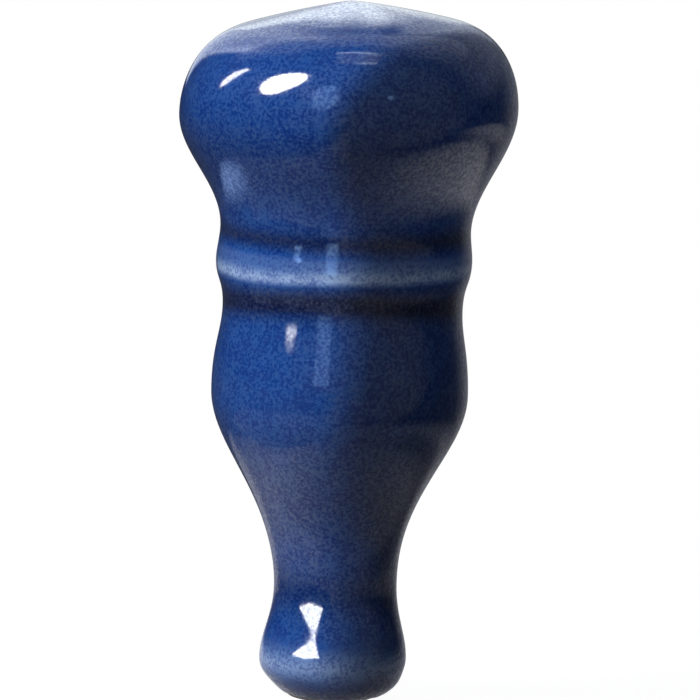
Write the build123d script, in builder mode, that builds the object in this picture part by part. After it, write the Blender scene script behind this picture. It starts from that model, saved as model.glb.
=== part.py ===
from build123d import *
from build123d.topology import SkipClean
from dataclasses import dataclass
from math import cos, radians, sin
import os

# A hand-held guitar slide turned to a baluster outline: a hollow slip-cast porcelain body
# under a fused coat of glaze. It stands on its small end with its axis along +Z, and the
# origin is the centre of the foot ring's flat face. All sizes are in millimetres.

# Glazed outline, from the foot ring up. Each rise is measured from the level below it.
foot_ring_r = 4.9
foot_ring_height = 0.3
foot_bulge_r = 8.05
foot_bulge_rise = 3.9
neck_r = 6.75
neck_rise = 7.95
belly_r = 13.95
belly_rise = 21.2
groove_r = 13.0
groove_rise = 9.25
ring_r = 13.85
ring_rise = 5.25
collar_r = 13.55
collar_rise = 3.35
head_r = 18.25
head_rise = 12.8
shoulder_r = 12.0
shoulder_rise = 9.35
crown_rise = 2.65

# Angles of the outline to the horizontal, where the foot's underside leaves the foot ring
# and where the shoulder passes into the crown.
underside_angle = 33.0
crown_angle = 16.5

# Thickness of the fired glaze: over most of the surface, where it has run thin on the
# ring's crest, and where it has pooled in the groove.
glaze = 0.35
glaze_on_ring = 0.15
glaze_in_groove = 0.5

# The hollow left by the drained slip, with its pour hole through the foot and the neck.
wall = 3.0
pour_hole_r = 3.25
throat_rise = 2.0
foot_edge_fillet = 0.25


@dataclass(frozen=True)
class Level:
    """A swell or waist where the outline stands upright.

    arrive and leave say how far the curve below and the curve above keep close to
    upright, as shares of their own rise.
    """

    radius: float
    height: float
    arrive: float
    leave: float
    skin: float = glaze

    def inset(self, depth):
        """The same level, moved in towards the axis by depth."""
        return Level(self.radius - depth, self.height, self.arrive, self.leave, self.skin)


foot_bulge_z = foot_ring_height + foot_bulge_rise
neck_z = foot_bulge_z + neck_rise
belly_z = neck_z + belly_rise
groove_z = belly_z + groove_rise
ring_z = groove_z + ring_rise
collar_z = ring_z + collar_rise
head_z = collar_z + head_rise
shoulder_z = head_z + shoulder_rise
crown_z = shoulder_z + crown_rise

foot_bulge = Level(foot_bulge_r, foot_bulge_z, arrive=0.44, leave=0.32)
neck = Level(neck_r, neck_z, arrive=0.44, leave=0.48)
belly = Level(belly_r, belly_z, arrive=0.29, leave=0.51)
groove = Level(groove_r, groove_z, arrive=0.31, leave=0.55, skin=glaze_in_groove)
ring = Level(ring_r, ring_z, arrive=0.44, leave=0.28, skin=glaze_on_ring)
collar = Level(collar_r, collar_z, arrive=0.30, leave=0.37)
head = Level(head_r, head_z, arrive=0.35, leave=0.41)

glazed_levels = [foot_bulge, neck, belly, groove, ring, collar, head]
body_levels = [level.inset(level.skin) for level in glazed_levels]

# The hollow keeps the wall's thickness at each level above the neck, but not the ring:
# the slip smooths over it inside.
throat = Level(pour_hole_r, neck_z + throat_rise, arrive=0.5, leave=0.42)
hollow_levels = [throat] + [level.inset(level.skin + wall) for level in (belly, groove, collar, head)]

# Where the glaze's outer face starts, on the level of the foot ring's top.
glaze_lip_r = foot_ring_r + glaze / sin(radians(underside_angle))

# How far the curves keep to the underside's and the crown's angles: as shares of the foot
# bulge's rise, of the shoulder's height and width together, and of the crown's radius.
underside_share = 0.32
shoulder_share = 0.295
crown_share = 0.345
tip_share = 0.07


def underside_line(start_r, bulge):
    """The foot's underside, from the top of the foot ring out to the foot's bulge."""
    out = underside_share * foot_bulge_rise * cos(radians(underside_angle))
    up = underside_share * foot_bulge_rise * sin(radians(underside_angle))
    Bezier(
        (start_r, foot_ring_height),
        (start_r + out, foot_ring_height + up),
        (bulge.radius, bulge.height - bulge.arrive * foot_bulge_rise),
        (bulge.radius, bulge.height),
    )


def side_line(levels):
    """The upright curves from each level to the next."""
    for low, high in zip(levels, levels[1:]):
        rise = high.height - low.height
        Bezier(
            (low.radius, low.height),
            (low.radius, low.height + low.leave * rise),
            (high.radius, high.height - high.arrive * rise),
            (high.radius, high.height),
        )


def crown_line(level, depth):
    """The round shoulder above the head and the shallow crown to the axis, depth inside the glaze."""
    sine, cosine = sin(radians(crown_angle)), cos(radians(crown_angle))
    turn_r = shoulder_r - depth * sine
    turn_z = shoulder_z - depth * cosine
    rise = turn_z - level.height
    before = shoulder_share * (level.radius - turn_r + rise)
    after = crown_share * turn_r
    Bezier(
        (level.radius, level.height),
        (level.radius, level.height + level.leave * rise),
        (turn_r + before * cosine, turn_z - before * sine),
        (turn_r, turn_z),
    )
    Bezier(
        (turn_r, turn_z),
        (turn_r - after * cosine, turn_z + after * sine),
        (tip_share * turn_r, crown_z - depth),
        (0, crown_z - depth),
    )


# The outlines and the turned solids are left unmerged, so that every stretch between two
# levels stays a face of its own.

# Porcelain body: one hollow casting with a bare foot ring and a pour hole.
with SkipClean(), BuildLine(Plane.XZ) as body_outline:
    underside_line(foot_ring_r, body_levels[0])
    side_line(body_levels)
    crown_line(body_levels[-1], glaze)
    Line((0, crown_z - glaze), (0, crown_z - glaze - wall))
    crown_line(hollow_levels[-1], glaze + wall)
    side_line(hollow_levels)
    Polyline(
        (throat.radius, throat.height),
        (throat.radius, 0),
        (foot_ring_r, 0),
        (foot_ring_r, foot_ring_height),
    )

body_profile = make_face(body_outline.edges(), mode=Mode.PRIVATE)

with BuildPart() as porcelain_body:
    revolve(body_profile, axis=Axis.Z, clean=False)
    fillet(porcelain_body.edges().filter_by(GeomType.CIRCLE).group_by(Axis.Z)[0], foot_edge_fillet)

porcelain_body.part.label = "porcelain_body"

# Glaze coat: a closed skin on the whole body except its foot ring.
with SkipClean(), BuildLine(Plane.XZ) as glaze_outline:
    underside_line(glaze_lip_r, glazed_levels[0])
    side_line(glazed_levels)
    crown_line(glazed_levels[-1], 0)
    Line((0, crown_z), (0, crown_z - glaze))
    crown_line(body_levels[-1], glaze)
    side_line(body_levels)
    underside_line(foot_ring_r, body_levels[0])
    Line((foot_ring_r, foot_ring_height), (glaze_lip_r, foot_ring_height))

glaze_profile = make_face(glaze_outline.edges(), mode=Mode.PRIVATE)

with BuildPart() as glaze_coat:
    revolve(glaze_profile, axis=Axis.Z, clean=False)

glaze_coat.part.label = "glaze_coat"

os.makedirs("parts", exist_ok=True)
export_step(porcelain_body.part, "parts/porcelain_body.step")
export_step(glaze_coat.part, "parts/glaze_coat.step")

print(f"height {crown_z:.2f} mm, head diameter {2 * head_r:.2f} mm")
print(f"pour hole straight for {throat.height - foot_edge_fillet:.2f} mm")
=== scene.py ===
"""Looks of a hand-held guitar slide: slip-cast porcelain under a fused cobalt glaze, in a small studio."""

import logging
import math
from dataclasses import dataclass
from enum import Enum
from typing import Any, Callable, Iterable, Mapping, Sequence

import bmesh
import bpy
from mathutils import Matrix, Vector, noise


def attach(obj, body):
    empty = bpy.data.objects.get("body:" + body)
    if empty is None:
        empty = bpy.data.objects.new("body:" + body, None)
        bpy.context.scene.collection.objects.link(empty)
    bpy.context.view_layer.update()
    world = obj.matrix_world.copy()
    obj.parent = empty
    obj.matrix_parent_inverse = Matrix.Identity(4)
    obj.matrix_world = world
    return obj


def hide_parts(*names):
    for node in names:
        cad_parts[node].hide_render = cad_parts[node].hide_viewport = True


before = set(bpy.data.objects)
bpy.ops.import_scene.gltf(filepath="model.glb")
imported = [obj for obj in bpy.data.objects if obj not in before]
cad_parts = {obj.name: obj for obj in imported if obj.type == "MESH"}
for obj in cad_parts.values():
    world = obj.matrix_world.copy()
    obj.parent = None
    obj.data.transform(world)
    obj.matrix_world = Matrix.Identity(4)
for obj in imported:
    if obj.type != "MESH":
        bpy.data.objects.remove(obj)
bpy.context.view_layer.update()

log = logging.getLogger("guitar_slide")

MM = 0.001
COAT_SHADE_ATTRIBUTE = "glaze_depth_and_shade"

MIDDLE = 0.5  # the middle of a noise that runs from 0 to 1
NEARLY_ONE = 1.0001  # keeps a root clear of 0 straight up and straight down
POLE_R = 1e-6  # a point nearer the axis than this, in millimetres, is a pole
FEWEST_STEPS = 4  # along a curve
MIX_FIRST, MIX_SECOND, MIX_RESULT = 6, 7, 2  # the Mix node's sockets for colours

Point2 = tuple[float, float]
Triple = tuple[float, float, float]
Colour = Triple
Fade = tuple[float, float]  # where a smooth rise starts and ends; it falls where the start is the larger

WHITE: Colour = (1.0, 1.0, 1.0)
SKY_BLUE: Colour = (0.45, 0.78, 1.4)
TUBE_BLUE: Colour = (0.85, 1.0, 1.25)


# --- shader maths ---


class Ray(Enum):
    """A kind of ray."""

    CAMERA = "camera"
    DIFFUSE = "diffuse"
    GLOSSY = "glossy"
    TRANSMISSION = "transmission"
    SHADOW = "shadow"


class Signal:
    """One value in a shader tree that takes part in Python arithmetic."""

    def __init__(self, tree: "ShaderTree", socket: bpy.types.NodeSocket) -> None:
        """Wraps an output socket of a node in the tree."""
        self.tree = tree
        self.socket = socket

    def _math(self, operation: str, *values: "Signal | float", clamp: bool = False) -> "Signal":
        """Adds a Math node that works on the given values."""
        settings = {"operation": operation, "use_clamp": clamp}
        return self.tree.add("ShaderNodeMath", settings, dict(enumerate(values)))

    def __add__(self, other: "Signal | float") -> "Signal":
        """self + other."""
        return self._math("ADD", self, other)

    def __radd__(self, other: float) -> "Signal":
        """other + self."""
        return self._math("ADD", other, self)

    def __sub__(self, other: "Signal | float") -> "Signal":
        """self - other."""
        return self._math("SUBTRACT", self, other)

    def __rsub__(self, other: float) -> "Signal":
        """other - self."""
        return self._math("SUBTRACT", other, self)

    def __mul__(self, other: "Signal | float") -> "Signal":
        """self * other."""
        return self._math("MULTIPLY", self, other)

    def __rmul__(self, other: float) -> "Signal":
        """other * self."""
        return self._math("MULTIPLY", other, self)

    def __truediv__(self, other: "Signal | float") -> "Signal":
        """self / other."""
        return self._math("DIVIDE", self, other)

    def __pow__(self, other: "Signal | float") -> "Signal":
        """self ** other."""
        return self._math("POWER", self, other)

    def clamped(self) -> "Signal":
        """The value held between 0 and 1."""
        return self._math("ADD", self, 0.0, clamp=True)

    def larger(self, other: "Signal | float") -> "Signal":
        """The larger of this value and another."""
        return self._math("MAXIMUM", self, other)

    def step(self, start: float, end: float) -> "Signal":
        """A smooth rise from 0 at start to 1 at end. It falls where start is above end.

        Args:
            start: where the result is 0.
            end: where the result is 1.

        Returns:
            The smoothed share, from 0 to 1.
        """
        low, high, at_low, at_high = (start, end, 0.0, 1.0) if start < end else (end, start, 1.0, 0.0)
        inputs = {"Value": self, "From Min": low, "From Max": high, "To Min": at_low, "To Max": at_high}
        return self.tree.add("ShaderNodeMapRange", {"interpolation_type": "SMOOTHSTEP"}, inputs)


class ShaderTree:
    """A node tree that is filled from Python expressions."""

    def __init__(self, tree: bpy.types.NodeTree) -> None:
        """Empties the tree, so that it holds only what is added here."""
        self.tree = tree
        self.tree.nodes.clear()

    def add(
        self,
        kind: str,
        settings: Mapping[str, Any] | None = None,
        inputs: Mapping[str | int, Any] | None = None,
        output: str | int = 0,
    ) -> Signal:
        """Adds one node of any type.

        Args:
            kind: the node's type name.
            settings: the node's own properties, set before its sockets; "stops" fills a colour ramp.
            inputs: socket names or numbers, each with a value or a Signal to link.
            output: the socket that the result stands for.

        Returns:
            The chosen output, ready for more arithmetic.
        """
        node = self.tree.nodes.new(kind)
        for name, value in (settings or {}).items():
            if name == "stops":
                self._fill_ramp(node.color_ramp, value)
            else:
                setattr(node, name, value)
        for key, value in (inputs or {}).items():
            if isinstance(value, Signal):
                self.tree.links.new(value.socket, node.inputs[key])
            else:
                node.inputs[key].default_value = value
        return Signal(self, node.outputs[output]) if len(node.outputs) else None

    @staticmethod
    def _fill_ramp(ramp: bpy.types.ColorRamp, stops: Sequence[tuple[float, Colour]]) -> None:
        """Gives a colour ramp its stops."""
        for position, _ in stops[1:-1]:
            ramp.elements.new(position)
        for element, (position, colour) in zip(ramp.elements, stops):
            element.position = position
            element.color = (*colour, 1.0)

    def mix(self, share: Signal | float, first: Any, second: Any, blend: str = "MIX") -> Signal:
        """Blends two colours through a Mix node.

        Args:
            share: how much of the second colour, from 0 to 1.
            first: a colour or a Signal that carries one.
            second: a colour or a Signal that carries one.
            blend: the Mix node's blend type.

        Returns:
            The blended colour.
        """
        low, high = (value if isinstance(value, Signal) else (*value, 1.0) for value in (first, second))
        settings = {"data_type": "RGBA", "blend_type": blend}
        return self.add("ShaderNodeMix", settings, {0: share, MIX_FIRST: low, MIX_SECOND: high}, MIX_RESULT)

    def scaled(self, vector: Signal, factor: float | Triple) -> Signal:
        """A vector stretched by one factor, or by one for each axis."""
        factors = factor if isinstance(factor, tuple) else (factor,) * 3
        return self.vector("MULTIPLY", vector, factors)

    def vector(self, operation: str, *values: Any, output: str = "Vector") -> Signal:
        """Adds a Vector Math node. The output "Value" is for a result that is a number."""
        return self.add("ShaderNodeVectorMath", {"operation": operation}, dict(enumerate(values)), output)

    def part(self, vector: Signal, axis: str) -> Signal:
        """A vector's "X", "Y" or "Z"."""
        return self.add("ShaderNodeSeparateXYZ", None, {0: vector}, output=axis)

    def emission(self, colour: Colour, strength: Signal | float) -> Signal:
        """A surface that glows in a colour."""
        return self.add("ShaderNodeEmission", None, {"Color": (*colour, 1.0), "Strength": strength})

    def ray(self, kind: Ray) -> Signal:
        """1 for rays of this kind and 0 for others."""
        return self.add("ShaderNodeLightPath", output=f"Is {kind.value.title()} Ray")

    def noise(self, place: Signal, scale: float, detail: float = 2.0, roughness: float = 0.5) -> Signal:
        """Soft noise from 0 to 1, at so many features to a unit of place."""
        inputs = {"Vector": place, "Scale": scale, "Detail": detail, "Roughness": roughness}
        return self.add("ShaderNodeTexNoise", None, inputs)

    def object_mm(self) -> Signal:
        """The place on the object, in millimetres of its own frame."""
        metres = self.add("ShaderNodeTexCoord", output="Object")
        return self.scaled(metres, 1.0 / MM)

    def bump(self, height: Signal, rise: float, under: Signal | None = None) -> Signal:
        """A bump map.

        Args:
            height: the relief, from 0 to 1.
            rise: how far the relief rises in all, in metres.
            under: a coarser relief that this one lies on.

        Returns:
            The bumped normal.
        """
        inputs = {"Strength": 1.0, "Distance": rise, "Height": height}
        if under is not None:
            inputs["Normal"] = under
        return self.add("ShaderNodeBump", None, inputs)

    def surface(self, shader: Signal) -> None:
        """Ends a material's tree in this shader."""
        self.add("ShaderNodeOutputMaterial", None, {"Surface": shader})


def new_material(name: str) -> tuple[bpy.types.Material, ShaderTree]:
    """A material with an empty tree."""
    material = bpy.data.materials.new(name)
    material.use_nodes = True
    return material, ShaderTree(material.node_tree)


# --- finishes ---


@dataclass(frozen=True)
class CobaltGlaze:
    """A glossy cobalt glaze that pales where it runs thin and darkens where it pools; painted shade and
    painted light also set its colour.
    """

    # Colours from a bare edge, through a half and a full coat, to a pool, each with its place on the ramp.
    # Painted shade runs towards the pool's colour and painted light towards the bare edge's.
    colours: tuple[tuple[float, Colour], ...] = (
        (0.0, (0.33, 0.47, 0.78)),
        (0.28, (0.12, 0.22, 0.52)),
        (0.52, (0.013, 0.068, 0.31)),
        (1.0, (0.006, 0.015, 0.072)),
    )
    ramp_per_coat: float = 0.55
    grain_per_mm: float = 2.8
    mottle_per_mm: float = 0.55
    cloud_per_mm: float = 0.11
    peel_per_mm: float = 0.42
    smear_per_mm: float = 0.6
    smear_stretch: Triple = (0.3, 0.3, 0.9)
    grain_depth: float = 0.7
    mottle_depth: float = 0.35
    cloud_depth: float = 0.12
    grain_contrast: float = 4.0
    mottle_contrast: float = 1.4
    dark_shade: Colour = (0.4, 0.47, 0.66)
    bright_shade: Colour = (1.7, 1.58, 1.3)
    haze: Colour = (0.1, 0.11, 0.15)
    haze_share: float = 0.16
    haze_grain: Fade = (0.46, 0.68)
    refraction: float = 1.46
    gloss_roughness: float = 0.065
    smear_roughness: float = 0.03
    skin_roughness: float = 0.1
    skin_contrast: float = 4.5
    skin_share: float = 0.28
    peel_rise: float = 0.012 * MM
    grain_rise: float = 0.0028 * MM

    def material(self) -> bpy.types.Material:
        """Builds the material. It reads the coat's depth from the mesh, where 1 is a full coat; painted
        shade and light are added in.
        """
        material, tree = new_material("cobalt_glaze")
        place = tree.object_mm()
        # The attribute holds the coat's depth with painted shade and painted light added in.
        depth = tree.add("ShaderNodeAttribute", {"attribute_name": COAT_SHADE_ATTRIBUTE}, output="Fac")
        grain = tree.noise(place, self.grain_per_mm, detail=2.0, roughness=0.7)
        mottle = tree.noise(place, self.mottle_per_mm, detail=2.0)
        cloud = tree.noise(place, self.cloud_per_mm, detail=1.0)
        grains, mottles, clouds = grain - MIDDLE, mottle - MIDDLE, cloud - MIDDLE
        thickness_and_shade = depth + grains * self.grain_depth + mottles * self.mottle_depth
        thickness_and_shade = thickness_and_shade + clouds * self.cloud_depth
        on_ramp = {"Fac": thickness_and_shade * self.ramp_per_coat}
        cobalt = tree.add("ShaderNodeValToRGB", {"stops": self.colours}, on_ramp)
        bright = grains * self.grain_contrast + mottles * self.mottle_contrast + MIDDLE
        shade = tree.mix(bright.clamped(), self.dark_shade, self.bright_shade)
        speckled = tree.mix(1.0, cobalt, shade, blend="MULTIPLY")
        colour = tree.mix(grain.step(*self.haze_grain) * self.haze_share, speckled, self.haze)
        smear = tree.noise(tree.scaled(place, self.smear_stretch), self.smear_per_mm, detail=2.0)
        peel = tree.noise(place, self.peel_per_mm, detail=1.0)
        normal = tree.bump(grain, self.grain_rise, under=tree.bump(peel, self.peel_rise))
        shader = tree.add("ShaderNodeBsdfPrincipled", None, {
            "Base Color": colour,
            "Roughness": smear * self.smear_roughness + self.gloss_roughness,
            "IOR": self.refraction,
            "Coat Weight": (grains * self.skin_contrast + self.skin_share).clamped(),
            "Coat Roughness": self.skin_roughness,
            "Normal": normal,
        })
        tree.surface(shader)
        return material


@dataclass(frozen=True)
class Bisque:
    """Bare fired porcelain: warm white, dry and finely grained, with a few iron specks."""

    pale: Colour = (0.8, 0.76, 0.69)
    bottom_tone: Colour = (0.62, 0.57, 0.49)
    speck: Colour = (0.16, 0.11, 0.07)
    grain_per_mm: float = 7.0
    blotch_per_mm: float = 0.5
    specks_per_mm: float = 1.1
    speck_edge: Fade = (0.085, 0.05)
    speck_share: float = 0.8
    bottom_height: Fade = (0.35, 0.0)
    bottom_share: float = 0.35
    bottom_blotch: float = 0.5
    roughness: float = 0.66
    grain_roughness: float = 0.2
    grain_rise: float = 0.02 * MM

    def material(self) -> bpy.types.Material:
        """Builds the material, darker towards the bottom, at the foot ring's face."""
        material, tree = new_material("bisque_porcelain")
        place = tree.object_mm()
        height = tree.part(place, "Z")
        grain = tree.noise(place, self.grain_per_mm, detail=4.0, roughness=0.7)
        blotch = tree.noise(place, self.blotch_per_mm, detail=2.0)
        # Darker towards the bottom, in blotches, at the foot ring's face.
        bottom_dark = height.step(*self.bottom_height) * (blotch * self.bottom_blotch + self.bottom_share)
        base = tree.mix(bottom_dark, self.pale, self.bottom_tone)
        cells = {"Vector": place, "Scale": self.specks_per_mm}
        dotted = tree.add("ShaderNodeTexVoronoi", None, cells, output="Distance")
        colour = tree.mix(dotted.step(*self.speck_edge) * self.speck_share, base, self.speck)
        normal = tree.bump(grain, self.grain_rise)
        shader = tree.add("ShaderNodeBsdfPrincipled", None, {
            "Base Color": colour,
            "Roughness": grain * self.grain_roughness + self.roughness,
            "Normal": normal,
        })
        tree.surface(shader)
        return material


# --- outline ---


@dataclass(frozen=True)
class Level:
    """A swell or waist where the outline stands upright. Lengths are in millimetres."""

    radius: float
    height: float
    arrive: float
    leave: float
    skin: float = 0.35

    def inset(self, depth: float) -> "Level":
        """The same level, moved in towards the axis by depth."""
        return Level(self.radius - depth, self.height, self.arrive, self.leave, self.skin)


def bezier(ends: Sequence[Point2], spacing: float) -> list[Point2]:
    """Points along a cubic curve.

    Args:
        ends: the curve's four control points.
        spacing: about how far apart the points are.

    Returns:
        The points, without the first one, so that curves can follow each other.
    """
    chord = sum(math.dist(a, b) for a, b in zip(ends, ends[1:]))
    count = max(FEWEST_STEPS, round(chord / spacing))
    points = []
    for index in range(1, count + 1):
        t = index / count
        weights = ((1 - t) ** 3, 3 * t * (1 - t) ** 2, 3 * t * t * (1 - t), t ** 3)
        points.append(tuple(sum(w * p[axis] for w, p in zip(weights, ends)) for axis in (0, 1)))
    return points


@dataclass(frozen=True)
class Outline:
    """The slide's turned outline, glazed, bare and hollow, in millimetres."""

    foot_ring_r: float = 4.9
    foot_ring_height: float = 0.3
    glaze: float = 0.35
    wall: float = 3.0
    pour_hole_r: float = 3.25
    throat_height: float = 14.15
    shoulder_r: float = 12.0
    shoulder_height: float = 73.35
    crown_height: float = 76.0
    underside_deg: float = 33.0
    crown_deg: float = 16.5
    underside_reach: float = 1.248
    shoulder_share: float = 0.295
    crown_share: float = 0.345
    tip_share: float = 0.07
    throat_arrive: float = 0.5
    throat_leave: float = 0.42
    bore_steps: int = 4
    levels: tuple[Level, ...] = (
        Level(8.05, 4.2, arrive=0.44, leave=0.32),
        Level(6.75, 12.15, arrive=0.44, leave=0.48),
        Level(13.95, 33.35, arrive=0.29, leave=0.51),
        Level(13.0, 42.6, arrive=0.31, leave=0.55, skin=0.5),
        Level(13.85, 47.85, arrive=0.44, leave=0.28, skin=0.15),
        Level(13.55, 51.2, arrive=0.3, leave=0.37),
        Level(18.25, 64.0, arrive=0.35, leave=0.41),
    )
    hollow_levels: tuple[int, ...] = (2, 3, 5, 6)

    @property
    def lip_r(self) -> float:
        """Where the glaze's outer face ends, level with the foot ring's top."""
        return self.foot_ring_r + self.glaze / math.sin(math.radians(self.underside_deg))

    def _rise(self, levels: Sequence[Level], spacing: float) -> list[Point2]:
        """The curves between neighbouring levels."""
        points = []
        for low, high in zip(levels, levels[1:]):
            rise = high.height - low.height
            curve = (
                (low.radius, low.height),
                (low.radius, low.height + low.leave * rise),
                (high.radius, high.height - high.arrive * rise),
                (high.radius, high.height),
            )
            points += bezier(curve, spacing)
        return points

    def _underside(self, start_r: float, bulge: Level, spacing: float) -> list[Point2]:
        """The foot's underside, from the foot ring's top out to the foot's bulge."""
        angle = math.radians(self.underside_deg)
        rise = bulge.height - self.foot_ring_height
        start = (start_r, self.foot_ring_height)
        leave = (start_r + self.underside_reach * math.cos(angle),
                 self.foot_ring_height + self.underside_reach * math.sin(angle))
        arrive = (bulge.radius, bulge.height - bulge.arrive * rise)
        return [start] + bezier((start, leave, arrive, (bulge.radius, bulge.height)), spacing)

    def _crown(self, head: Level, depth: float, spacing: float) -> list[Point2]:
        """The shoulder and the crown, at this depth under the glazed outline."""
        angle = math.radians(self.crown_deg)
        turn = (self.shoulder_r - depth * math.sin(angle), self.shoulder_height - depth * math.cos(angle))
        rise = turn[1] - head.height
        before = self.shoulder_share * (head.radius - turn[0] + self.shoulder_height - head.height)
        after = self.crown_share * turn[0]
        start = (head.radius, head.height)
        leave = (head.radius, head.height + head.leave * rise)
        arrive = (turn[0] + before * math.cos(angle), turn[1] - before * math.sin(angle))
        onward = (turn[0] - after * math.cos(angle), turn[1] + after * math.sin(angle))
        top = self.crown_height - depth
        shoulder = bezier((start, leave, arrive, turn), spacing)
        return shoulder + bezier((turn, onward, (self.tip_share * turn[0], top), (0.0, top)), spacing)

    def glazed(self, spacing: float) -> list[Point2]:
        """The glaze's outer face, from its lip up to the crown's tip."""
        foot = self._underside(self.lip_r, self.levels[0], spacing)
        return foot + self._rise(self.levels, spacing) + self._crown(self.levels[-1], 0.0, spacing)

    def bare(self, spacing: float) -> list[Point2]:
        """The porcelain under the glaze, from the foot ring's top up to the crown's tip."""
        levels = [level.inset(level.skin) for level in self.levels]
        foot = self._underside(self.foot_ring_r, levels[0], spacing)
        return foot + self._rise(levels, spacing) + self._crown(levels[-1], self.glaze, spacing)

    def hollow(self, spacing: float) -> list[Point2]:
        """The hollow, from the pour hole's mouth up to its top. The ring doesn't show inside."""
        levels = [Level(self.pour_hole_r, self.throat_height, self.throat_arrive, self.throat_leave)]
        levels += [self.levels[i].inset(self.levels[i].skin + self.wall) for i in self.hollow_levels]
        steps = range(self.bore_steps + 1)
        bore = [(self.pour_hole_r, self.throat_height * step / self.bore_steps) for step in steps]
        return bore + self._rise(levels, spacing) + self._crown(levels[-1], self.glaze + self.wall, spacing)


@dataclass(frozen=True)
class Handwork:
    """How the fired slide strays from a true turning. Lengths are in millimetres."""

    lean_deg: float = 2.5
    lean_from: float = 50.0
    lean_to: float = 68.0
    bows: tuple[Triple, ...] = (
        (11.0, 6.0, 0.14), (22.0, 9.0, -0.13), (37.0, 5.0, -0.08), (46.5, 2.2, -0.06), (54.0, 7.5, 0.07),
    )
    foot_skew: float = 0.3
    foot_skew_r: Fade = (4.9, 5.6)
    foot_skew_heights: Fade = (3.2, 1.0)
    true_heights: Fade = (0.5, 6.0)
    out_of_round: float = 0.07
    oval_twist_per_mm: float = 0.05
    ripple: float = 0.016
    ripple_per_mm: float = 0.16
    ripple_start: Triple = (3.1, 7.7, 1.3)
    crown_sink: float = 0.035
    crown_heights: Fade = (70.0, 76.0)

    def shaped(self, radius: float, turn: float, height: float) -> Vector:
        """Where a point of the true turning ends up.

        Args:
            radius: the point's distance from the axis.
            turn: its angle round the axis, in radians.
            height: its height above the foot ring's face.

        Returns:
            The point in metres, in the slide's own frame.
        """
        true = Vector((radius * math.cos(turn), radius * math.sin(turn), height))
        wave = noise.noise(true * self.ripple_per_mm + Vector(self.ripple_start))
        oval = 0.5 + 0.5 * math.cos(2 * turn + self.oval_twist_per_mm * height)
        free = smooth_share(height, *self.true_heights)
        inward = free * (self.out_of_round * oval + self.ripple * (1.0 + wave))
        kept = max(0.0, 1.0 - inward / radius) if radius > 1.0 else 1.0 - inward
        bow = free * sum(shift * swell(height, at, reach) for at, reach, shift in self.bows)
        skew = smooth_share(radius, *self.foot_skew_r) * smooth_share(height, *self.foot_skew_heights)
        bow += self.foot_skew * skew
        lean = math.tan(math.radians(self.lean_deg)) * smooth_share(height, self.lean_from, self.lean_to)
        sink = self.crown_sink * smooth_share(height, *self.crown_heights)
        x = true.x * kept + bow
        return Vector((x, true.y * kept, height + lean * x - sink)) * MM


def smooth_share(value: float, start: float, end: float) -> float:
    """A smooth rise from 0 at start to 1 at end."""
    t = min(1.0, max(0.0, (value - start) / (end - start)))
    return t * t * (3.0 - 2.0 * t)


def swell(value: float, middle: float, reach: float) -> float:
    """A smooth hump, 1 in the middle and 0.37 at this reach on either side."""
    return math.exp(-(((value - middle) / reach) ** 2))


def turned_mesh(
    name: str,
    profile: Sequence[Point2],
    around: int,
    shape: Callable[[float, float, float], Vector],
    depth: Callable[[float, float], float],
) -> bpy.types.Mesh:
    """A closed mesh of revolution whose profile starts and ends on the axis.

    Args:
        name: the mesh's name.
        profile: radius and height in millimetres, from one pole to the other, clockwise round the solid.
        around: how many faces go round the axis.
        shape: moves a point, given its radius, angle and height.
        depth: the coat's depth, with any painted shade and light in it, given a point's angle and height.

    Returns:
        A smooth-shaded mesh that carries the coat's depth, painted shade and light included, at each
        vertex.
    """
    solid = bmesh.new()
    layer = solid.verts.layers.float.new(COAT_SHADE_ATTRIBUTE)
    rings = []
    for radius, height in profile:
        on_axis = radius < POLE_R
        ring = []
        for index in range(1 if on_axis else around):
            turn = math.tau * index / around
            vertex = solid.verts.new(shape(radius, turn, height))
            vertex[layer] = depth(turn, height)
            ring.append(vertex)
        rings.append(ring)
    for low, high in zip(rings, rings[1:]):
        for index in range(around):
            after = (index + 1) % around
            below = [low[index % len(low)], low[after % len(low)]]
            above = [high[after % len(high)], high[index % len(high)]]
            solid.faces.new(list(dict.fromkeys(below + above)))
    bmesh.ops.recalc_face_normals(solid, faces=solid.faces)
    for face in solid.faces:
        face.smooth = True
    mesh = bpy.data.meshes.new(name)
    solid.to_mesh(mesh)
    solid.free()
    return mesh


# --- the slide's pieces ---


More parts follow.
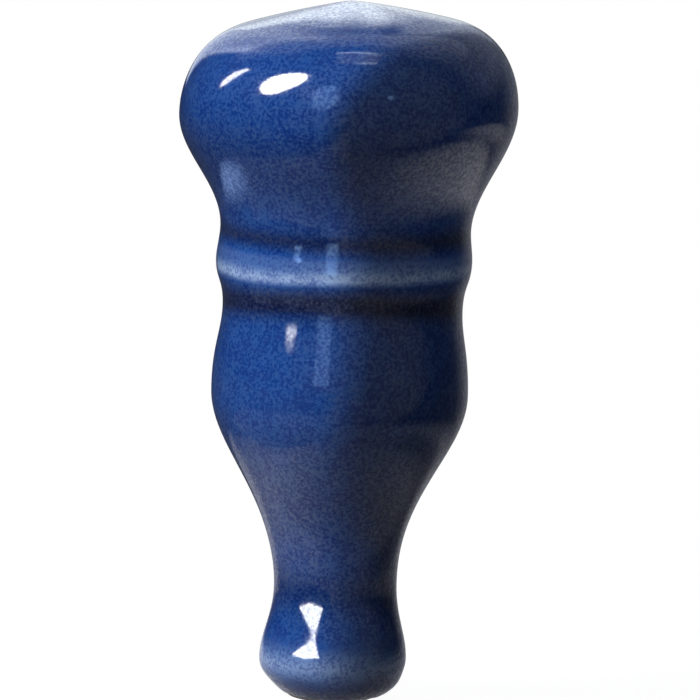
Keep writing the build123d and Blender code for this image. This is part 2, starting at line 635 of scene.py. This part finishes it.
@dataclass
class GlazeCoat:
    """The fused glaze, a closed shell over the porcelain."""

    outline: Outline
    handwork: Handwork
    finish: CobaltGlaze = CobaltGlaze()
    spacing: float = 0.36
    inner_spacing: float = 0.9
    around: int = 224
    # Where the coat has pooled or run thin, and where shade and light are painted: height, reach up and
    # down, and how much more coat there is.
    pools_and_shade: tuple[Triple, ...] = (
        # Collar under the head (51.3): pooled coat and the head's painted shadow. Head's lower half (61.0):
        # painted shade.
        # Foot's bulge (4.3): thin coat, partly painted light from below. Neck (12.4), lower belly (21.5):
        # pooled coat, partly painted shade.
        (4.3, 1.75, -0.64), (12.4, 2.6, 0.45), (21.5, 5.0, 0.25), (49.4, 0.9, -0.27), (51.3, 1.2, 0.7),
        (61.0, 5.0, 0.32),
    )
    # The groove's pool, on the ring's lower flank and dipping lower at the left and right: pooled coat and
    # painted shade under the ring.
    groove_pool_and_shade: Triple = (44.8, 1.5, 0.95)
    groove_dip: float = 1.1
    ring_break_height: float = 47.6
    ring_break_reach_up: float = 1.02
    ring_break_reach_down: float = 0.68
    ring_break_depth: float = 0.92
    ring_break_droop: float = 0.45
    droop_side: Fade = (-0.1, 0.7)
    # The outer lip's points, out from where the face ends and up from the foot ring's top.
    lip: tuple[Point2, ...] = ((-0.35, 0.0), (-0.08, 0.0), (0.02, 0.05))
    lip_roll: float = 0.13
    lip_heights: Fade = (1.6, 0.5)
    lip_clear: float = 0.2
    lip_waves: float = 2.2
    lip_wave_height: float = 0.4

    def coat_and_shade_at(self, turn: float, height: float) -> float:
        """The coat's depth at a place, where 1 is a full coat, with painted shade and painted light added.

        Args:
            turn: the place's angle round the axis, in radians.
            height: millimetres above the foot ring's face.

        Returns:
            Less than 1 on the ring's crest and on the foot's bulge, the latter partly painted light from
            below; more than 1 where the coat has pooled and where shade is painted.
        """
        pooled_and_shaded = sum(gain * swell(height, at, reach) for at, reach, gain in self.pools_and_shade)
        at, reach, gain = self.groove_pool_and_shade
        pooled_and_shaded += gain * swell(height, at - self.groove_dip * math.cos(turn) ** 2, reach)
        droop = self.ring_break_droop * smooth_share(-math.cos(turn), *self.droop_side)
        crest = self.ring_break_height - droop
        reach = self.ring_break_reach_up if height > crest else self.ring_break_reach_down
        return 1.0 - self.ring_break_depth * swell(height, crest, reach) + pooled_and_shaded

    def profile(self) -> list[Point2]:
        """The shell's profile, from the inner pole down to the lip and up to the outer pole."""
        inner = list(reversed(self.outline.bare(self.inner_spacing)))
        face = self.outline.glazed(self.spacing)
        lip = [(self.outline.lip_r + out, self.outline.foot_ring_height + up) for out, up in self.lip]
        return inner + lip + face[1:]

    def shaped(self, radius: float, turn: float, height: float) -> Vector:
        """The handwork's place for a point, with the lip's uneven roll added."""
        point = self.handwork.shaped(radius, turn, height)
        if radius > self.outline.foot_ring_r + self.lip_clear:
            around = Vector((math.cos(turn), math.sin(turn), self.lip_wave_height)) * self.lip_waves
            uneven = 0.5 + 0.5 * noise.noise(around) + 0.25 * noise.noise(around * 3.0)
            point.z += self.lip_roll * MM * smooth_share(height, *self.lip_heights) * uneven
        return point

    def build(self) -> bpy.types.Object:
        mesh = turned_mesh("cobalt_glaze_coat", self.profile(), self.around, self.shaped, self.coat_and_shade_at)
        mesh.materials.append(self.finish.material())
        coat = link_piece("cobalt_glaze_coat", mesh)
        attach(coat, "root")
        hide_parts("glaze_coat")
        return coat


@dataclass
class PorcelainBody:
    """The slip-cast porcelain, closed at the crown, with its pour hole through the foot."""

    outline: Outline
    handwork: Handwork
    finish: Bisque = Bisque()
    spacing: float = 0.9
    around: int = 160
    edge_r: float = 0.25
    mouth_r: float = 0.35
    edge_steps: int = 5

    def foot_edge(self) -> list[Point2]:
        """The foot ring, from the pour hole's rounded mouth out and up to the glaze."""
        turns = [math.radians(90 * i / self.edge_steps) for i in range(self.edge_steps + 1)]
        mouth_x = self.outline.pour_hole_r + self.mouth_r
        mouth = [(mouth_x - self.mouth_r * math.cos(a), self.mouth_r * (1 - math.sin(a))) for a in turns]
        rim_x = self.outline.foot_ring_r - self.edge_r
        rim = [(rim_x + self.edge_r * math.sin(a), self.edge_r * (1 - math.cos(a))) for a in turns]
        return mouth + rim

    def profile(self) -> list[Point2]:
        """The profile, from the hollow's top down, out across the foot and up to the crown."""
        hollow = [p for p in reversed(self.outline.hollow(self.spacing)) if p[1] > self.mouth_r]
        return hollow + self.foot_edge() + self.outline.bare(self.spacing)

    def build(self) -> bpy.types.Object:
        shape, full_coat = self.handwork.shaped, lambda turn, height: 1.0
        mesh = turned_mesh("cast_porcelain_body", self.profile(), self.around, shape, full_coat)
        mesh.materials.append(self.finish.material())
        body = link_piece("cast_porcelain_body", mesh)
        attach(body, "root")
        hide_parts("porcelain_body")
        return body


def link_piece(name: str, data: bpy.types.ID) -> bpy.types.Object:
    """Puts new data into the scene as an object."""
    piece = bpy.data.objects.new(name, data)
    bpy.context.scene.collection.objects.link(piece)
    return piece


# --- studio ---


def heading(azimuth: float, elevation: float) -> Vector:
    """The direction at an azimuth, 0 towards the viewer and + to the right, and an elevation: degrees."""
    a, e = math.radians(azimuth), math.radians(elevation)
    return Vector((math.sin(a) * math.cos(e), -math.cos(a) * math.cos(e), math.sin(e)))


class Role(Enum):
    """What a lamp does for the object."""

    LIGHTS = "lights"
    SHINES = "shines"


@dataclass(frozen=True)
class Softbox:
    """A flat lamp that faces a point on the object's axis, at the height towards. Lengths are in metres."""

    name: str
    azimuth: float
    elevation: float
    width: float
    height: float
    radiance: float
    role: Role = Role.SHINES
    distance: float = 0.55
    roll: float = 0.0
    towards: float = 0.068
    aside: float = 0.0
    above: float = 0.0
    round_ended: bool = False
    spread: float = 180.0
    flagged: bool = False
    tint: Colour = WHITE

    def build(self, pieces: bpy.types.Collection) -> None:
        """Builds the lamp. A flagged one lights only the pieces, past the flag."""
        lamp = bpy.data.lights.new(self.name, "AREA")
        lamp.shape = "ELLIPSE" if self.round_ended else "RECTANGLE"
        lamp.color = self.tint
        lamp.size = self.width
        lamp.size_y = self.height
        lamp.spread = math.radians(self.spread)
        filled = math.pi / 4 if self.round_ended else 1.0
        lamp.energy = self.radiance * math.pi * self.width * self.height * filled
        box = link_piece(self.name, lamp)
        place = facing(self.azimuth, self.elevation, self.distance, self.towards)
        aside = Matrix.Translation((self.aside, self.above, 0.0))
        box.matrix_world = place @ aside @ Matrix.Rotation(math.radians(self.roll), 4, "Z")
        box.visible_camera = False
        box.visible_diffuse = self.role is Role.LIGHTS
        box.visible_glossy = self.role is Role.SHINES
        if self.flagged:
            box.light_linking.receiver_collection = pieces


def facing(azimuth: float, elevation: float, distance: float, towards: float) -> Matrix:
    """A place in this direction from the axis, at a height towards, whose Z axis points away from it."""
    out = heading(azimuth, elevation)
    turned = out.to_track_quat("Z", "Y").to_matrix().to_4x4()
    return Matrix.Translation(Vector((0.0, 0.0, towards)) + out * distance) @ turned


def stage_panel(name: str, corners: Sequence[Vector], ray: Ray) -> ShaderTree:
    """A flat panel that only one kind of ray meets.

    Args:
        name: the panel's name.
        corners: its corners, in metres.
        ray: the kind of ray.

    Returns:
        The empty tree of the panel's material.
    """
    mesh = bpy.data.meshes.new(name)
    mesh.from_pydata([tuple(corner) for corner in corners], [], [tuple(range(len(corners)))])
    material, tree = new_material(name)
    mesh.materials.append(material)
    panel = link_piece(name, mesh)
    for kind in Ray:
        setattr(panel, f"visible_{kind.value}", kind is ray)
    return tree


@dataclass(frozen=True)
class Reflector:
    """A small bright card beside the foot, in a dim hood that hides it from the belly. Lengths: metres."""

    azimuth: float = -47.0
    distance: float = 0.05
    half_width: float = 0.04
    top: float = 0.0225
    hood_start: float = 0.024
    hood_height: float = 0.0135
    card_gap: float = 0.0005
    floor_gap: float = 0.0002
    radiance: float = 23.0
    hood_glow: float = 0.28
    hood_back_glow: float = 0.04
    hood_tint: Colour = (0.85, 0.95, 1.25)
    shape: tuple[Point2, ...] = (
        (-0.015, 0.0098), (0.002, 0.008), (0.025, 0.011), (0.02, 0.018),
        (0.016, 0.022), (0.01, 0.021), (-0.002, 0.016),
    )

    def _panel(self, name: str, corners: Sequence[Triple], glows: Sequence[float], tint: Colour) -> None:
        """Builds one flat panel.

        Args:
            name: the panel's name.
            corners: its corners, each as aside, up and out from the object.
            glows: the radiance of its front and of its back.
            tint: its colour.
        """
        place = facing(self.azimuth, 0.0, 0.0, 0.0)
        tree = stage_panel(name, [place @ Vector(corner) for corner in corners], Ray.GLOSSY)
        behind = tree.add("ShaderNodeNewGeometry", output="Backfacing")
        front_glow, back_glow = glows
        strength = behind * back_glow + (1 - behind) * front_glow
        tree.surface(tree.emission(tint, strength))

    def build(self) -> None:
        """Builds the card, the dim panel behind it and the hood over it."""
        side, out = self.half_width, self.distance
        card = [(x, y, out - self.card_gap) for x, y in self.shape]
        self._panel("foot_card", card, (self.radiance, self.radiance), WHITE)
        top = [(side, self.top, out), (-side, self.top, out)]
        low = [(x, self.floor_gap, out) for x in (-side, side)]
        near = [(x, self.hood_height, self.hood_start) for x in (-side, side)]
        glows = (self.hood_glow, self.hood_back_glow)
        self._panel("foot_card_wall", low + top, glows, self.hood_tint)
        self._panel("foot_card_hood", near + top, glows[::-1], self.hood_tint)


@dataclass(frozen=True)
class GlowCard:
    """A level card whose upper face glows softly under the head's overhang. Lengths are in metres."""

    name: str
    centre: Triple
    turn: float
    half_length: float
    half_width: float
    radiance: float
    tint: Colour = WHITE
    clear_r: Fade = (0.015, 0.0182)

    def build(self) -> None:
        """Builds the card. It fades out at its edge and near the slide, and its lower face is clear."""
        turn, middle = math.radians(self.turn), Vector(self.centre)
        along = Vector((math.cos(turn), math.sin(turn), 0.0)) * self.half_length
        across = Vector((-math.sin(turn), math.cos(turn), 0.0)) * self.half_width
        corners = [middle + along * a + across * b for a, b in ((1, 1), (-1, 1), (-1, -1), (1, -1))]
        tree = stage_panel(self.name, corners, Ray.GLOSSY)
        place = tree.add("ShaderNodeNewGeometry", output="Position")
        offset = tree.vector("SUBTRACT", place, tuple(middle))
        shares = [tuple(side / side.length_squared) for side in (along, across)]
        far, wide = (tree.vector("DOT_PRODUCT", offset, share, output="Value") for share in shares)
        away = tree.vector("LENGTH", tree.scaled(place, (1.0, 1.0, 0.0)), output="Value")
        glow = (far * far + wide * wide).step(1.0, 0.0) * away.step(*self.clear_r)
        clear = tree.add("ShaderNodeBsdfTransparent")
        light = tree.emission(self.tint, self.radiance)
        below = tree.add("ShaderNodeNewGeometry", output="Backfacing")
        tree.surface(tree.add("ShaderNodeMixShader", None, {0: glow * (1 - below), 1: clear, 2: light}))


@dataclass(frozen=True)
class Flag:
    """A black flag beside the object, which keeps the front key off its far half. Lengths are in metres."""

    azimuth: float = -30.0
    distance: float = 0.025
    far_side: float = 0.06
    black: Colour = (0.02, 0.02, 0.02)
    edge: tuple[Point2, ...] = (
        (0.0045, 0.0), (0.0045, 0.02), (0.007, 0.045), (0.0075, 0.07), (0.0095, 0.079), (0.012, 0.12),
    )

    def build(self) -> None:
        """Builds the flag, which only casts shadow."""
        place = facing(self.azimuth, 0.0, self.distance, 0.0)
        outline = list(self.edge) + [(self.far_side, self.edge[-1][1]), (self.far_side, 0.0)]
        tree = stage_panel("key_flag", [place @ Vector((x, y, 0.0)) for x, y in outline], Ray.SHADOW)
        tree.surface(tree.add("ShaderNodeBsdfDiffuse", None, {"Color": (*self.black, 1.0)}))


class Along(Enum):
    """What the edges of a patch are measured along."""

    ACROSS = "to the right"
    FORWARD = "away from the viewer"
    UP = "up"
    OUT = "out from the object's axis"
    BACK_LEFT = "back and to the left"
    BACK_RIGHT = "back and to the right"
    FRONT_RIGHT = "towards the viewer and to the right"
    UP_RIGHT = "up and to the right"


ACROSS, FORWARD, UP, OUT, BACK_LEFT, BACK_RIGHT, FRONT_RIGHT, UP_RIGHT = Along
Places = Mapping[Along, Signal]


@dataclass(frozen=True)
class Patch:
    """A patch of glow or shade. Each of its soft edges is a smooth rise from 0 to 1, or a fall."""

    strength: float
    edges: tuple[tuple[Along, float, float], ...]

    def on(self, places: Places) -> Signal:
        """The patch over these places."""
        edges = (places[along].step(start, end) for along, start, end in self.edges)
        return math.prod(edges, start=self.strength)


@dataclass(frozen=True)
class Floor:
    """A matt floor at the foot ring's face: a sheet of paper beside the object, on a grey table.

    The viewer sees all of it white, and it keeps the object's shadow. Only reflections show its glows. From
    below it is clear. Lengths are in metres.
    """

    radius: float = 1.6
    segments: int = 96
    # The matt colours. Light that bounces from here to other things has colours of its own.
    paper: Colour = (0.85, 0.85, 0.85)
    table: Colour = (0.18, 0.18, 0.18)
    far_table: Colour = (0.12, 0.12, 0.12)
    bounced: Colour = (0.38, 0.38, 0.38)
    sheet: Patch = Patch(1.0, ((OUT, 0.062, 0.04), (ACROSS, 0.01, -0.014)))
    dark_table: Patch = Patch(1.0, ((OUT, 0.06, 0.14), (ACROSS, 0.0, -0.05)))
    dark_bounce: Patch = Patch(1.0, ((ACROSS, -0.02, 0.02),))
    # The glows. The slant is how much of ACROSS goes into BACK_LEFT and BACK_RIGHT.
    slant: float = 0.6
    tint: Colour = (0.97, 0.98, 1.1)
    right: Patch = Patch(0.22, ((ACROSS, -0.016, 0.002), (OUT, 0.105, 0.045)))
    left: Patch = Patch(0.42, ((ACROSS, -0.002, -0.022), (OUT, 0.06, 0.03)))
    left_shade: Patch = Patch(0.45, ((FORWARD, 0.004, 0.016),))
    gap: Patch = Patch(0.7, ((OUT, 0.029, 0.041), (OUT, 0.062, 0.046)))
    gap_end: Patch = Patch(0.75, ((FORWARD, -0.012, -0.028), (ACROSS, -0.005, 0.005)))
    left_rim: Patch = Patch(0.34, ((BACK_RIGHT, 0.0, 0.02), (ACROSS, -0.01, -0.025), (OUT, 0.073, 0.064)))
    right_rim: Patch = Patch(0.14, ((BACK_LEFT, 0.0, 0.6), (ACROSS, 0.005, 0.025)))
    near_rim: Patch = Patch(0.7, ((OUT, 0.073, 0.064),))
    foot: Patch = Patch(0.04, ((OUT, 0.017, 0.01),))
    front: Patch = Patch(0.13, ((FORWARD, -0.05, -0.12), (ACROSS, -0.03, 0.03)))
    front_left: Patch = Patch(
        0.2, ((FORWARD, -0.04, -0.055), (ACROSS, 0.01, -0.002), (ACROSS, -0.035, -0.015)))
    # What the viewer sees.
    seen_glow: float = 0.96
    shadow_share: float = 0.15
    shadow_paper: Colour = (0.9, 0.9, 0.9)
    unshadowed: Patch = Patch(1.0, ((OUT, 0.05, 0.16),))

    def _places(self, tree: ShaderTree) -> Places:
        """Measures of a point on the floor. BACK_LEFT is a share of the distance from the axis."""
        point = tree.add("ShaderNodeNewGeometry", output="Position")
        across, forward = tree.part(point, "X"), tree.part(point, "Y")
        out = tree.vector("LENGTH", point, output="Value")
        back_left = (forward - across * self.slant) / out
        back_right = forward + across * self.slant
        return {ACROSS: across, FORWARD: forward, OUT: out, BACK_LEFT: back_left, BACK_RIGHT: back_right}

    def _glow(self, places: Places) -> Signal:
        """How strongly reflections show the floor to glow."""
        left = self.left.on(places) * (1 - self.left_shade.on(places))
        gap = self.gap.on(places) * (1 - self.gap_end.on(places))
        near = (self.right.on(places) + left) * (1 - gap) + self.left_rim.on(places) + self.foot.on(places)
        rim = self.right_rim.on(places) * (self.near_rim.on(places) + 1)
        return near.larger(rim) + self.front.on(places) + self.front_left.on(places)

    def material(self) -> bpy.types.Material:
        """Builds the floor's material."""
        material, tree = new_material("pale_floor")
        places = self._places(tree)
        table = tree.mix(self.dark_table.on(places), self.table, self.far_table)
        cover = tree.mix(self.sheet.on(places), table, self.paper)
        bounced = tree.mix(self.dark_bounce.on(places), self.bounced, self.far_table)
        colour = tree.mix(tree.ray(Ray.DIFFUSE), cover, bounced)
        matt = tree.add("ShaderNodeBsdfDiffuse", None, {"Color": colour})
        glow = tree.emission(self.tint, self._glow(places) * tree.ray(Ray.GLOSSY))
        lit = tree.add("ShaderNodeAddShader", None, {0: matt, 1: glow})
        pale = tree.emission(WHITE, self.seen_glow)
        paper = tree.add("ShaderNodeBsdfDiffuse", None, {"Color": (*self.shadow_paper, 1.0)})
        shadow = tree.add("ShaderNodeMixShader", None, {0: self.shadow_share, 2: paper})
        shadowed = tree.add("ShaderNodeAddShader", None, {0: pale, 1: shadow})
        white = tree.emission(WHITE, 1.0)
        seen = tree.add("ShaderNodeMixShader", None, {0: self.unshadowed.on(places), 1: shadowed, 2: white})
        above = tree.add("ShaderNodeMixShader", None, {0: tree.ray(Ray.CAMERA), 1: lit, 2: seen})
        below = tree.add("ShaderNodeNewGeometry", output="Backfacing")
        clear = tree.add("ShaderNodeBsdfTransparent")
        tree.surface(tree.add("ShaderNodeMixShader", None, {0: below, 1: above, 2: clear}))
        return material

    def build(self) -> None:
        """Builds the floor as a round disc."""
        disc = bmesh.new()
        bmesh.ops.create_circle(disc, cap_ends=True, segments=self.segments, radius=self.radius)
        mesh = bpy.data.meshes.new("studio_floor")
        disc.to_mesh(mesh)
        disc.free()
        mesh.materials.append(self.material())
        link_piece("studio_floor", mesh)


@dataclass(frozen=True)
class Room:
    """The room: white to the viewer, a bright wall and doorway behind the object, dim elsewhere.

    Places are parts of a direction one unit long. ACROSS and FORWARD are shares of its level length.
    """

    tint: Colour = (0.9, 0.98, 1.15)
    fill: float = 0.012
    sheen: float = 0.03
    # The wall, an arch that brightens upwards and is dimmer low down on the left.
    wall_tint: Colour = (0.9, 0.97, 1.00)
    wall_low: float = 0.7
    wall_rise: float = 4.8
    wall_dim: Patch = Patch(0.55, ((UP, 0.5, 0.22), (UP, 0.0, 0.12), (ACROSS, 0.04, -0.01)))
    wall_sides: Patch = Patch(1.0, ((ACROSS, 0.095, 0.045), (FORWARD, 0.4, 0.7)))
    arch_middle: float = -0.012
    arch_half_width: float = 0.125
    arch_height: float = 0.535
    arch_edge: Fade = (1.35, 0.7)
    arch_stoop: Patch = Patch(0.045, ((ACROSS, 0.01, 0.08),))
    # The doorway to the left, brighter at its far side.
    doorway: Patch = Patch(
        1.0, ((ACROSS, -0.06, -0.18), (UP_RIGHT, -0.36, -0.28), (FORWARD, 0.3, 0.5), (UP, 0.78, 0.56)))
    doorway_slant: float = 0.57
    doorway_low: float = 0.9
    doorway_high: Patch = Patch(1.2, ((ACROSS, -0.42, -0.64),))
    # Paler places on the right, above and in front.
    corner: Patch = Patch(0.22, ((ACROSS, 0.03, 0.2), (FORWARD, -0.1, 0.35), (UP, 0.0, 0.35)))
    shoulder: Patch = Patch(
        0.58, ((ACROSS, 0.05, 0.09), (ACROSS, 0.4, 0.08), (UP, -0.05, 0.2), (UP, 0.64, 0.5),
               (FORWARD, 0.0, 0.5)))
    rim_slant: float = 0.6
    rim: Patch = Patch(0.14, ((BACK_LEFT, 0.0, 0.6), (ACROSS, 0.1, 0.3), (UP, 0.5, 0.25)))
    ceiling: Patch = Patch(0.45, ((FORWARD, 0.4, 0.75), (UP, 0.56, 0.62), (UP, 0.94, 0.86)))
    ceiling_low: float = 0.4
    ceiling_left: Patch = Patch(0.6, ((ACROSS, 0.45, 0.15),))
    front: Patch = Patch(0.17, ((FRONT_RIGHT, 0.15, 0.75),))
    front_way: Point2 = (0.34, -0.94)

    def _places(self, tree: ShaderTree) -> Places:
        """Measures of a direction in the room."""
        way = tree.add("ShaderNodeTexCoord", output="Generated")
        right, back, up = (tree.part(way, axis) for axis in "XYZ")
        level = (NEARLY_ONE - up * up) ** 0.5
        forward, across = back / level, right / level
        return {
            ACROSS: across, FORWARD: forward, UP: up,
            BACK_LEFT: forward - across * self.rim_slant,
            FRONT_RIGHT: across * self.front_way[0] + forward * self.front_way[1],
            UP_RIGHT: across + up * self.doorway_slant,
        }

    def _wall(self, places: Places) -> Signal:
        """How bright the wall is."""
        wide = (places[ACROSS] - self.arch_middle) / self.arch_half_width
        tall = (places[UP] + self.arch_stoop.on(places)) / self.arch_height
        arch = (wide * wide * wide * wide + tall * tall * tall * tall).step(*self.arch_edge)
        glow = places[UP] * self.wall_rise + self.wall_low - self.wall_dim.on(places)
        return arch * self.wall_sides.on(places) * glow

    def build(self) -> None:
        """Builds the room and gives it to the scene."""
        world = bpy.data.worlds.new("studio_room")
        world.use_nodes = True
        bpy.context.scene.world = world
        tree = ShaderTree(world.node_tree)
        places = self._places(tree)
        wall = self._wall(places)
        doorway = self.doorway.on(places) * (self.doorway_high.on(places) + self.doorway_low)
        corner = self.corner.on(places).larger(self.shoulder.on(places)).larger(self.rim.on(places))
        ceiling = self.ceiling.on(places) * (self.ceiling_left.on(places) + self.ceiling_low)
        sheen = (self.front.on(places) + (self.sheen - self.fill)) * tree.ray(Ray.GLOSSY)
        glow = sheen + self.fill + wall + doorway + corner + ceiling
        camera = tree.ray(Ray.CAMERA)
        tint = tree.mix(wall.clamped(), self.tint, self.wall_tint)
        colour = tree.mix(camera, tint, WHITE)
        strength = glow * (1 - camera) + camera
        sky = tree.add("ShaderNodeBackground", None, {"Color": colour, "Strength": strength})
        tree.add("ShaderNodeOutputWorld", None, {"Surface": sky})


@dataclass
class Studio:
    """The floor, the room, the lamps and the aids near the object."""

    floor: Floor = Floor()
    room: Room = Room()
    lamps: tuple[Softbox, ...] = (
        Softbox("side_key", -78, 30, 0.26, 0.26, 6.5, Role.LIGHTS, towards=0.05),
        Softbox("front_key", -30, 33, 0.12, 0.12, 41.0, Role.LIGHTS, towards=0.05, flagged=True),
        Softbox("fill", 2, 10, 0.3, 0.3, 1.4, Role.LIGHTS, towards=0.05),
        Softbox("head_fill", 52, -8, 0.03, 0.03, 0.12, Role.LIGHTS, distance=0.1, towards=0.062, spread=36),
        Softbox("key_window", -54, 37, 0.32, 0.19, 34.0, aside=-0.042, above=0.028, roll=55,
                round_ended=True),
        Softbox("side_window", -101, 27, 0.225, 0.055, 15.0, aside=-0.03, above=0.016, roll=76,
                round_ended=True),
        Softbox("front_card", -24, 28, 0.15, 0.26, 1.8, distance=0.5, aside=0.037, above=0.01,
                round_ended=True, tint=SKY_BLUE),
        Softbox("far_lamp", 31, 28, 0.022, 0.032, 2.5, distance=0.5, aside=-0.019, above=-0.019,
                tint=SKY_BLUE),
        Softbox("ceiling_panel", -20, 80, 0.26, 0.28, 0.6, distance=0.8, aside=0.02, above=0.12, roll=15),
        Softbox("ceiling_tube_a", -20, 80, 0.24, 0.12, 3.2, distance=0.8, aside=-0.04, above=0.242, roll=8,
                round_ended=True, tint=TUBE_BLUE),
        Softbox("ceiling_tube_b", -20, 80, 0.15, 0.05, 3.0, distance=0.8, aside=0.125, above=0.005, roll=22,
                round_ended=True, tint=TUBE_BLUE),
        Softbox("belly_card", -15, 0, 0.006, 0.007, 0.25, distance=0.032, towards=0.0403, aside=0.0012,
                spread=80, tint=SKY_BLUE),
        Softbox("ring_card", -15, 0, 0.0045, 0.0054, 0.38, distance=0.032, towards=0.0498, aside=0.0035,
                spread=80, tint=SKY_BLUE),
        Softbox("belly_glint", -48, 1, 0.0034, 0.0009, 0.15, distance=0.0216, towards=0.041, aside=0.0052,
                spread=20, round_ended=True),
        Softbox("ring_glint", -42, 4, 0.0021, 0.0006, 0.1, distance=0.0216, towards=0.0489, aside=0.0048,
                spread=24, round_ended=True, tint=SKY_BLUE),
    )
    foot_reflector: Reflector = Reflector()
    overhang_cards: tuple[GlowCard, ...] = (
        GlowCard("overhang_card_right", (0.0215, -0.0095, 0.0526), 22.0, 0.0205, 0.0145, 0.64),
        GlowCard("overhang_card_far", (0.062, 0.008, 0.0518), 10.0, 0.038, 0.032, 0.42,
                 clear_r=(0.026, 0.042)),
        GlowCard("overhang_card_left", (-0.017, -0.0066, 0.0526), 0.0, 0.0056, 0.0052, 1.3,
                 tint=(0.55, 0.82, 1.5)),
    )
    key_flag: Flag = Flag()

    def build(self, pieces: Iterable[bpy.types.Object]) -> None:
        """Builds everything that isn't the object, round its pieces."""
        for setting in (self.floor, self.room, self.foot_reflector, *self.overhang_cards, self.key_flag):
            setting.build()
        lit = bpy.data.collections.new("lit_pieces")
        for piece in pieces:
            lit.objects.link(piece)
        for lamp in self.lamps:
            lamp.build(lit)


@dataclass(frozen=True)
class Viewpoint:
    """The camera: how far, how high and how it is held. Lengths are in metres."""

    distance: float = 0.8
    elevation: float = 9.2
    aim_height: float = 0.03795
    aim_right: float = 0.00092
    roll: float = 1.74
    seen_width: float = 0.07568
    sensor: float = 36.0
    nearest: float = 0.01
    farthest: float = 10.0

    def build(self) -> None:
        """Builds the camera and gives it to the scene."""
        lens = bpy.data.cameras.new("camera")
        lens.sensor_width = self.sensor
        lens.lens = self.sensor * self.distance / self.seen_width
        lens.clip_start = self.nearest
        lens.clip_end = self.farthest
        back = heading(0.0, self.elevation)
        right = Vector((1.0, 0.0, 0.0))
        up = back.cross(right)
        turn = math.radians(self.roll)
        held_right = right * math.cos(turn) + up * math.sin(turn)
        held_up = up * math.cos(turn) - right * math.sin(turn)
        place = Vector((0.0, 0.0, self.aim_height)) + back * self.distance + held_right * self.aim_right
        camera = link_piece("camera", lens)
        held = Matrix((held_right, held_up, back)).transposed()
        camera.matrix_world = Matrix.Translation(place) @ held.to_4x4()
        bpy.context.scene.camera = camera


def report(pieces: Iterable[bpy.types.Object]) -> None:
    """Logs each piece's name and size, in millimetres."""
    for piece in pieces:
        size = ", ".join(f"{edge / MM:.2f}" for edge in piece.dimensions)
        log.info("%s: %s mm", piece.name, size)


def main() -> None:
    """Builds the slide, the studio and the camera."""
    logging.basicConfig(level=logging.INFO)
    scene = bpy.context.scene
    scene.view_settings.view_transform = "Standard"
    outline = Outline()
    handwork = Handwork()
    pieces = [PorcelainBody(outline, handwork).build(), GlazeCoat(outline, handwork).build()]
    Studio().build(pieces)
    Viewpoint().build()
    bpy.context.view_layer.update()
    report(pieces)


if __name__ == "__main__":
    main()
